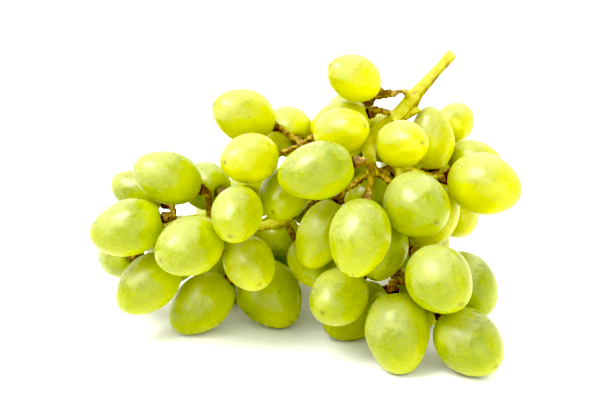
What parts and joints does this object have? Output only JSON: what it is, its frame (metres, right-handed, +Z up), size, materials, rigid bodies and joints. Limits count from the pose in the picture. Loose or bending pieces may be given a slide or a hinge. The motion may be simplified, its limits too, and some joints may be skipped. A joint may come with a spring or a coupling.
{
  "type": "bunch of grapes",
  "caption": "Bunch of green oval table grapes lying on its side, on a branching woody stem whose cut end points up; a pickable, edible cluster for food scenes.",
  "frame": {"origin": "on the resting plane, under the middle of the bunch's outline (bottom centre of its box)", "axes": "+X along the bunch, from its loose tip towards the cut stem; -Y towards the side that faces forward; +Z up"},
  "size_m": [0.1362, 0.1088, 0.0914],
  "materials": {
    "grape_skin": "satin: translucent yellow-green skin under a blotchy, waxy bloom, with small pale dots",
    "stem": "matt: ridged pale green main stalk with a dry cut end, browner and rougher on the fine stalks"
  },
  "bodies": {
    "root": {"crown_grape_1": "grape_skin", "crown_grape_2": "grape_skin", "crown_grape_3": "grape_skin", "crown_grape_4": "grape_skin", "crown_grape_5": "grape_skin", "crown_grape_6": "grape_skin", "left_shoulder_grape_1": "grape_skin", "left_shoulder_grape_2": "grape_skin", "left_shoulder_grape_3": "grape_skin", "right_shoulder_grape_1": "grape_skin", "right_shoulder_grape_2": "grape_skin", "right_shoulder_grape_3": "grape_skin", "right_shoulder_grape_4": "grape_skin", "right_shoulder_grape_5": "grape_skin", "right_shoulder_grape_6": "grape_skin", "front_grape_1": "grape_skin", "front_grape_2": "grape_skin", "front_grape_3": "grape_skin", "front_grape_4": "grape_skin", "front_grape_5": "grape_skin", "front_grape_6": "grape_skin", "front_grape_7": "grape_skin", "front_grape_8": "grape_skin", "front_grape_9": "grape_skin", "right_front_grape_1": "grape_skin", "right_front_grape_2": "grape_skin", "right_front_grape_3": "grape_skin", "right_front_grape_4": "grape_skin", "right_front_grape_5": "grape_skin", "right_front_grape_6": "grape_skin", "left_tip_grape_1": "grape_skin", "left_tip_grape_2": "grape_skin", "left_tip_grape_3": "grape_skin", "left_tip_grape_4": "grape_skin", "left_tip_grape_5": "grape_skin", "left_tip_grape_6": "grape_skin", "left_tip_grape_7": "grape_skin", "left_tip_grape_8": "grape_skin", "left_tip_grape_9": "grape_skin", "middle_grape_1": "grape_skin", "middle_grape_2": "grape_skin", "middle_grape_3": "grape_skin", "middle_grape_4": "grape_skin", "back_grape_1": "grape_skin", "back_grape_2": "grape_skin", "back_grape_3": "grape_skin", "back_grape_4": "grape_skin", "back_grape_5": "grape_skin", "back_grape_6": "grape_skin", "back_grape_7": "grape_skin", "back_grape_8": "grape_skin", "back_grape_9": "grape_skin", "back_grape_10": "grape_skin", "under_grape_1": "grape_skin", "under_grape_2": "grape_skin", "under_grape_3": "grape_skin", "under_grape_4": "grape_skin", "under_grape_5": "grape_skin", "stem": "stem"}
  },
  "joints": []
}
